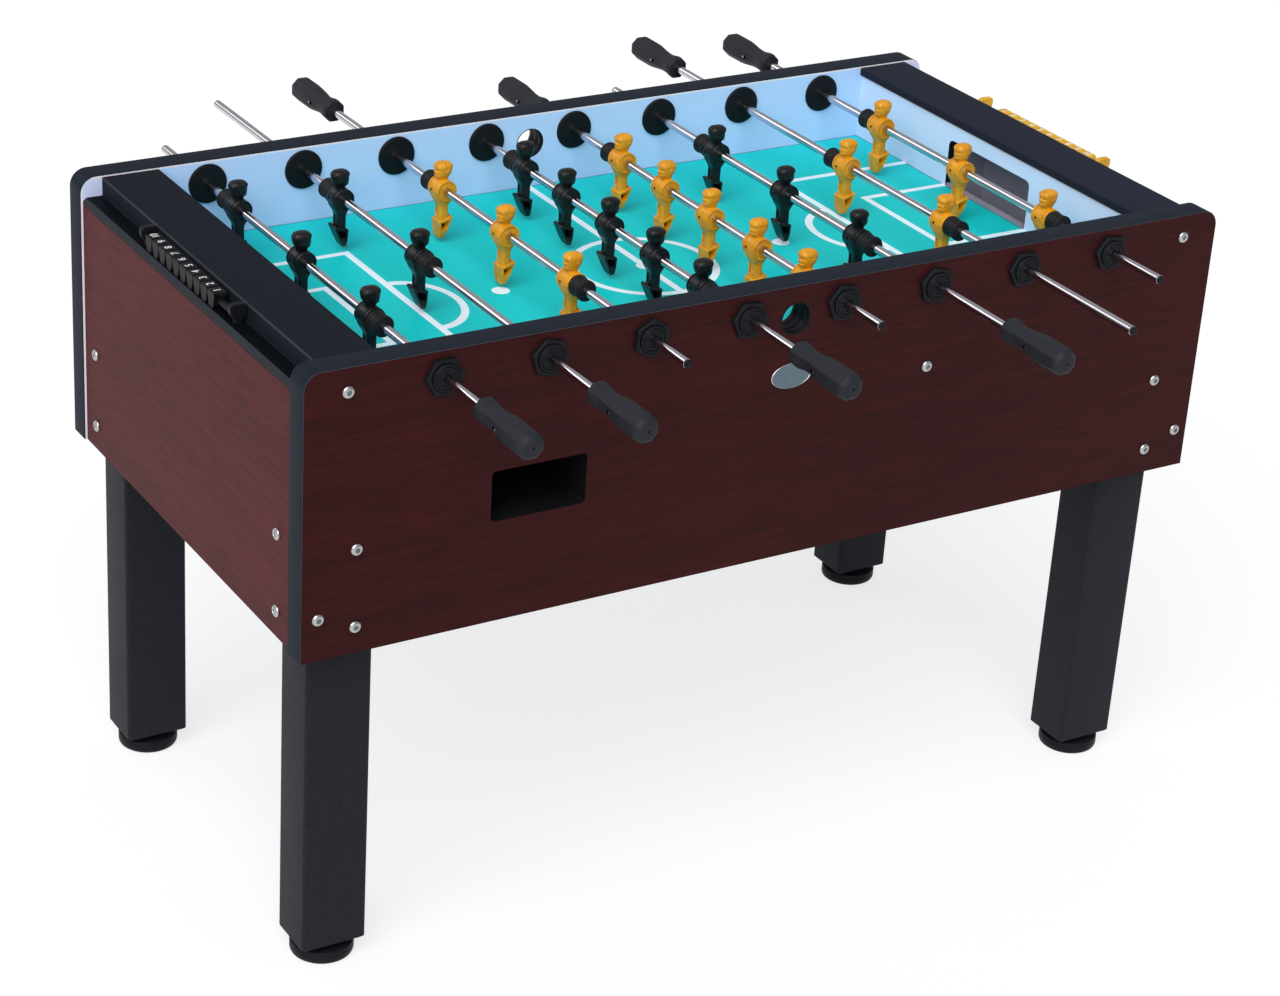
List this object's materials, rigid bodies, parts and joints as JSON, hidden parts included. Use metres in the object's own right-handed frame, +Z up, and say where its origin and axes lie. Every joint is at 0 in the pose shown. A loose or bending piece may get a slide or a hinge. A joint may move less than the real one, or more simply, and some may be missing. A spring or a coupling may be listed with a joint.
{
  "type": "foosball table",
  "caption": "Foosball table: wood-grain cabinet on legs with levelling feet, green field with goals, sliding and turning rods of players, bead scorers, serve holes and ball pockets.",
  "frame": {"origin": "on the floor under the middle of the table", "axes": "+X along the table to the yellow scorer's end, +Y across it to the back, +Z up"},
  "size_m": [1.435, 1.3398, 0.9075],
  "materials": {
    "mahogany_laminate": "satin dark red-brown wood-grain laminate",
    "black_laminate": "satin black laminate",
    "white_laminate": "smooth white laminate",
    "field_laminate": "satin green laminate with white field lines",
    "bare_wood": "sawn wood",
    "black_plastic": "matte black moulded plastic",
    "grey_plastic": "matte grey moulded plastic",
    "chrome": "polished chrome",
    "nickel": "bright nickel",
    "rubber": "black rubber",
    "yellow_plastic": "glossy yellow-orange plastic",
    "gloss_black_plastic": "glossy black plastic"
  },
  "bodies": {
    "cabinet": {"front_side_panel": "mahogany_laminate", "back_side_panel": "mahogany_laminate", "right_end_panel": "mahogany_laminate", "left_end_panel": "mahogany_laminate", "playfield": "field_laminate", "field_beams": "bare_wood", "right_goal_wall": "white_laminate", "left_goal_wall": "white_laminate", "right_score_shelf": "black_laminate", "left_score_shelf": "black_laminate", "goal_ramps": "grey_plastic", "return_troughs": "black_plastic", "serve_rings": "black_plastic", "right_scorer_frame": "yellow_plastic", "left_scorer_frame": "black_plastic", "cabinet_bolts": "nickel", "rod_bushings": "black_plastic", "bushing_nuts": "black_plastic", "front_left_leg": "black_laminate", "front_right_leg": "black_laminate", "back_left_leg": "black_laminate", "back_right_leg": "black_laminate"},
    "rod_1_slider": {"rod_1_bumpers": "rubber"},
    "rod_1": {"rod_1_tube": "chrome", "rod_1_players": "gloss_black_plastic", "rod_1_grip": "rubber"},
    "rod_2_slider": {"rod_2_bumpers": "rubber"},
    "rod_2": {"rod_2_tube": "chrome", "rod_2_players": "gloss_black_plastic", "rod_2_grip": "rubber"},
    "rod_3_slider": {"rod_3_bumpers": "rubber"},
    "rod_3": {"rod_3_tube": "chrome", "rod_3_players": "yellow_plastic", "rod_3_grip": "rubber"},
    "rod_4_slider": {"rod_4_bumpers": "rubber"},
    "rod_4": {"rod_4_tube": "chrome", "rod_4_players": "gloss_black_plastic", "rod_4_grip": "rubber"},
    "rod_5_slider": {"rod_5_bumpers": "rubber"},
    "rod_5": {"rod_5_tube": "chrome", "rod_5_players": "yellow_plastic", "rod_5_grip": "rubber"},
    "rod_6_slider": {"rod_6_bumpers": "rubber"},
    "rod_6": {"rod_6_tube": "chrome", "rod_6_players": "gloss_black_plastic", "rod_6_grip": "rubber"},
    "rod_7_slider": {"rod_7_bumpers": "rubber"},
    "rod_7": {"rod_7_tube": "chrome", "rod_7_players": "yellow_plastic", "rod_7_grip": "rubber"},
    "rod_8_slider": {"rod_8_bumpers": "rubber"},
    "rod_8": {"rod_8_tube": "chrome", "rod_8_players": "yellow_plastic", "rod_8_grip": "rubber"},
    "right_scorer_beads": {"right_scorer_beads": "yellow_plastic"},
    "left_scorer_beads": {"left_scorer_beads": "gloss_black_plastic"},
    "front_left_leveller": {"front_left_leveller": "black_plastic"},
    "front_right_leveller": {"front_right_leveller": "black_plastic"},
    "back_left_leveller": {"back_left_leveller": "black_plastic"},
    "back_right_leveller": {"back_right_leveller": "black_plastic"}
  },
  "joints": [
    {"name": "rod_1_slide", "type": "slide", "parent": "cabinet", "child": "rod_1_slider", "axis": [0, 1, 0], "range_m": [-0.11939, 0.05881]},
    {"name": "rod_1_spin", "type": "hinge", "parent": "rod_1_slider", "child": "rod_1", "pos_m": [-0.525, 0.03029, 0.866], "axis": [0, 1, 0], "continuous": true},
    {"name": "rod_2_slide", "type": "slide", "parent": "cabinet", "child": "rod_2_slider", "axis": [0, 1, 0], "range_m": [-0.27098, 0.07422]},
    {"name": "rod_2_spin", "type": "hinge", "parent": "rod_2_slider", "child": "rod_2", "pos_m": [-0.375, 0.09838, 0.866], "axis": [0, 1, 0], "continuous": true},
    {"name": "rod_3_slide", "type": "slide", "parent": "cabinet", "child": "rod_3_slider", "axis": [0, 1, 0], "range_m": [-0.11892, 0.09928]},
    {"name": "rod_3_spin", "type": "hinge", "parent": "rod_3_slider", "child": "rod_3", "pos_m": [-0.225, 0.00982, 0.866], "axis": [0, 1, 0], "continuous": true},
    {"name": "rod_4_slide", "type": "slide", "parent": "cabinet", "child": "rod_4_slider", "axis": [0, 1, 0], "range_m": [-0.03015, 0.07205]},
    {"name": "rod_4_spin", "type": "hinge", "parent": "rod_4_slider", "child": "rod_4", "pos_m": [-0.075, -0.02095, 0.866], "axis": [0, 1, 0], "continuous": true},
    {"name": "rod_5_slide", "type": "slide", "parent": "cabinet", "child": "rod_5_slider", "axis": [0, 1, 0], "range_m": [-0.00409, 0.09811]},
    {"name": "rod_5_spin", "type": "hinge", "parent": "rod_5_slider", "child": "rod_5", "pos_m": [0.075, -0.04701, 0.866], "axis": [0, 1, 0], "continuous": true},
    {"name": "rod_6_slide", "type": "slide", "parent": "cabinet", "child": "rod_6_slider", "axis": [0, 1, 0], "range_m": [-0.09928, 0.11892]},
    {"name": "rod_6_spin", "type": "hinge", "parent": "rod_6_slider", "child": "rod_6", "pos_m": [0.225, -0.00982, 0.866], "axis": [0, 1, 0], "continuous": true},
    {"name": "rod_7_slide", "type": "slide", "parent": "cabinet", "child": "rod_7_slider", "axis": [0, 1, 0], "range_m": [-0.10011, 0.24509]},
    {"name": "rod_7_spin", "type": "hinge", "parent": "rod_7_slider", "child": "rod_7", "pos_m": [0.375, -0.07249, 0.866], "axis": [0, 1, 0], "continuous": true},
    {"name": "rod_8_slide", "type": "slide", "parent": "cabinet", "child": "rod_8_slider", "axis": [0, 1, 0], "range_m": [-0.05881, 0.11939]},
    {"name": "rod_8_spin", "type": "hinge", "parent": "rod_8_slider", "child": "rod_8", "pos_m": [0.525, -0.03029, 0.866], "axis": [0, 1, 0], "continuous": true},
    {"name": "right_beads_slide", "type": "slide", "parent": "cabinet", "child": "right_scorer_beads", "axis": [0, 1, 0], "range_m": [-0.0205, 0.0325]},
    {"name": "left_beads_slide", "type": "slide", "parent": "cabinet", "child": "left_scorer_beads", "axis": [0, 1, 0], "range_m": [-0.046, 0.007]},
    {"name": "front_left_leveller_screw", "type": "slide", "parent": "cabinet", "child": "front_left_leveller", "axis": [0, 0, -1], "range_m": [0, 0.015]},
    {"name": "front_right_leveller_screw", "type": "slide", "parent": "cabinet", "child": "front_right_leveller", "axis": [0, 0, -1], "range_m": [0, 0.015]},
    {"name": "back_left_leveller_screw", "type": "slide", "parent": "cabinet", "child": "back_left_leveller", "axis": [0, 0, -1], "range_m": [0, 0.015]},
    {"name": "back_right_leveller_screw", "type": "slide", "parent": "cabinet", "child": "back_right_leveller", "axis": [0, 0, -1], "range_m": [0, 0.015]}
  ]
}
